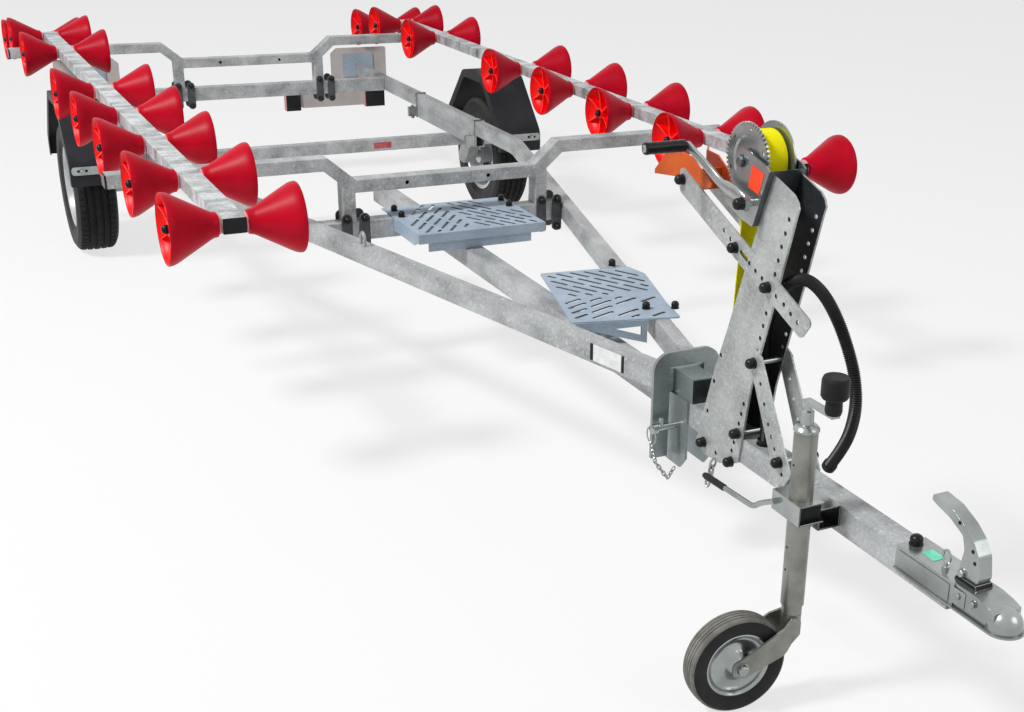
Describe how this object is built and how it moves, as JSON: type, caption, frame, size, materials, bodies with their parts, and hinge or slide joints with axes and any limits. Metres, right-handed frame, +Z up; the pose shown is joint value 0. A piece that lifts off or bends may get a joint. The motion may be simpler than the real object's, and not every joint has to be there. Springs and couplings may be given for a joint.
{
  "type": "boat trailer",
  "caption": "Galvanised single-axle boat trailer with double-cone bed rollers, strap winch post, ball coupling and jockey wheel",
  "frame": {"origin": "on the ground, in the middle of the width and within 20 mm of the middle of the length", "axes": "+X towards the coupling, +Y to the left-hand side when facing the coupling, +Z up"},
  "size_m": [5.897, 2.11, 1.1172],
  "materials": {
    "galvanised": "spangled hot-dip zinc",
    "zinc": "smooth bright zinc plate",
    "red_plastic": "satin moulded",
    "black_plastic": "moulded",
    "dark_metal": "dark grey, satin",
    "tyre": "matt",
    "rim": "silver, satin",
    "orange": "satin",
    "webbing": "woven",
    "board": "warm grey, satin",
    "lens": "moulded lens",
    "jockey_rubber": "matt"
  },
  "bodies": {
    "chassis": {"axle_frame": "galvanised", "board_clamps": "dark_metal", "bow_bracket": "orange", "carriage_straps": "galvanised", "chassis_rails": "galvanised", "coupling_body": "zinc", "coupling_handle": "zinc", "cross_beams": "galvanised", "drawbar": "galvanised", "end_caps": "black_plastic", "fender_bars": "galvanised", "fenders": "black_plastic", "head_bracket": "zinc", "hose": "black_plastic", "hose_ends": "black_plastic", "jockey_clamp": "zinc", "jockey_head": "zinc", "jockey_tube": "zinc", "lamps": "lens", "light_boards": "board", "lock_pin": "zinc", "post_braces": "galvanised", "post_plates": "galvanised", "roller_rails": "galvanised", "step_front": "galvanised", "step_head": "galvanised", "strap_tail": "webbing", "suspension_arms": "galvanised", "winch_frame": "zinc", "yoke_clamps": "dark_metal", "yokes": "galvanised"},
    "wheel_left": {"tyre_left": "tyre", "rim_left": "rim"},
    "roller_left_1": {"roller_left_1": "red_plastic"},
    "roller_left_2": {"roller_left_2": "red_plastic"},
    "roller_left_3": {"roller_left_3": "red_plastic"},
    "roller_left_4": {"roller_left_4": "red_plastic"},
    "roller_left_5": {"roller_left_5": "red_plastic"},
    "roller_left_6": {"roller_left_6": "red_plastic"},
    "roller_left_7": {"roller_left_7": "red_plastic"},
    "roller_left_8": {"roller_left_8": "red_plastic"},
    "wheel_right": {"tyre_right": "tyre", "rim_right": "rim"},
    "roller_right_1": {"roller_right_1": "red_plastic"},
    "roller_right_2": {"roller_right_2": "red_plastic"},
    "roller_right_3": {"roller_right_3": "red_plastic"},
    "roller_right_4": {"roller_right_4": "red_plastic"},
    "roller_right_5": {"roller_right_5": "red_plastic"},
    "roller_right_6": {"roller_right_6": "red_plastic"},
    "roller_right_7": {"roller_right_7": "red_plastic"},
    "roller_right_8": {"roller_right_8": "red_plastic"},
    "winch_drum": {"winch_drum": "zinc", "winch_strap": "webbing"},
    "winch_crank": {"winch_crank": "zinc"},
    "jockey_stem": {"jockey_stem": "zinc"},
    "jockey_fork": {"jockey_fork": "zinc"},
    "jockey_wheel": {"jockey_wheel": "jockey_rubber"}
  },
  "joints": [
    {"name": "wheel_left_spin", "type": "hinge", "parent": "chassis", "child": "wheel_left", "pos_m": [-1.538, 0.895, 0.262], "axis": [0, 1, 0], "continuous": true},
    {"name": "wheel_right_spin", "type": "hinge", "parent": "chassis", "child": "wheel_right", "pos_m": [-1.538, -0.895, 0.262], "axis": [0, 1, 0], "continuous": true},
    {"name": "roller_left_1_spin", "type": "hinge", "parent": "chassis", "child": "roller_left_1", "pos_m": [-2.872, 0.855, 0.67169], "axis": [0, 1, 0], "continuous": true},
    {"name": "roller_left_2_spin", "type": "hinge", "parent": "chassis", "child": "roller_left_2", "pos_m": [-2.57, 0.855, 0.716], "axis": [0, 1, 0], "continuous": true},
    {"name": "roller_left_3_spin", "type": "hinge", "parent": "chassis", "child": "roller_left_3", "pos_m": [-2.072, 0.855, 0.716], "axis": [0, 1, 0], "continuous": true},
    {"name": "roller_left_4_spin", "type": "hinge", "parent": "chassis", "child": "roller_left_4", "pos_m": [-1.062, 0.855, 0.716], "axis": [0, 1, 0], "continuous": true},
    {"name": "roller_left_5_spin", "type": "hinge", "parent": "chassis", "child": "roller_left_5", "pos_m": [-0.556, 0.855, 0.716], "axis": [0, 1, 0], "continuous": true},
    {"name": "roller_left_6_spin", "type": "hinge", "parent": "chassis", "child": "roller_left_6", "pos_m": [-0.064, 0.855, 0.716], "axis": [0, 1, 0], "continuous": true},
    {"name": "roller_left_7_spin", "type": "hinge", "parent": "chassis", "child": "roller_left_7", "pos_m": [0.442, 0.855, 0.716], "axis": [0, 1, 0], "continuous": true},
    {"name": "roller_left_8_spin", "type": "hinge", "parent": "chassis", "child": "roller_left_8", "pos_m": [0.952, 0.855, 0.716], "axis": [0, 1, 0], "continuous": true},
    {"name": "roller_right_1_spin", "type": "hinge", "parent": "chassis", "child": "roller_right_1", "pos_m": [-2.872, -0.855, 0.67169], "axis": [0, 1, 0], "continuous": true},
    {"name": "roller_right_2_spin", "type": "hinge", "parent": "chassis", "child": "roller_right_2", "pos_m": [-2.57, -0.855, 0.716], "axis": [0, 1, 0], "continuous": true},
    {"name": "roller_right_3_spin", "type": "hinge", "parent": "chassis", "child": "roller_right_3", "pos_m": [-2.072, -0.855, 0.716], "axis": [0, 1, 0], "continuous": true},
    {"name": "roller_right_4_spin", "type": "hinge", "parent": "chassis", "child": "roller_right_4", "pos_m": [-1.062, -0.855, 0.716], "axis": [0, 1, 0], "continuous": true},
    {"name": "roller_right_5_spin", "type": "hinge", "parent": "chassis", "child": "roller_right_5", "pos_m": [-0.556, -0.855, 0.716], "axis": [0, 1, 0], "continuous": true},
    {"name": "roller_right_6_spin", "type": "hinge", "parent": "chassis", "child": "roller_right_6", "pos_m": [-0.064, -0.855, 0.716], "axis": [0, 1, 0], "continuous": true},
    {"name": "roller_right_7_spin", "type": "hinge", "parent": "chassis", "child": "roller_right_7", "pos_m": [0.442, -0.855, 0.716], "axis": [0, 1, 0], "continuous": true},
    {"name": "roller_right_8_spin", "type": "hinge", "parent": "chassis", "child": "roller_right_8", "pos_m": [0.952, -0.855, 0.716], "axis": [0, 1, 0], "continuous": true},
    {"name": "drum_spin", "type": "hinge", "parent": "chassis", "child": "winch_drum", "pos_m": [2.048, 0, 1.038], "axis": [0, 1, 0], "continuous": true},
    {"name": "crank_spin", "type": "hinge", "parent": "chassis", "child": "winch_crank", "pos_m": [2.09759, 0, 0.96289], "axis": [0, 1, 0], "continuous": true},
    {"name": "jockey_slide", "type": "slide", "parent": "chassis", "child": "jockey_stem", "axis": [0, 0, -1], "range_m": [-0.015, 0.2]},
    {"name": "jockey_swivel", "type": "hinge", "parent": "jockey_stem", "child": "jockey_fork", "pos_m": [2.431, -0.116, 0.198], "axis": [0, 0, 1], "continuous": true},
    {"name": "jockey_wheel_spin", "type": "hinge", "parent": "jockey_fork", "child": "jockey_wheel", "pos_m": [2.42011, -0.24052, 0.1075], "axis": [0.9962, -0.0872, 0], "continuous": true}
  ],
  "couplings": [
    {"joint": "crank_spin", "follows": "drum_spin", "ratio": -5.6667}
  ]
}
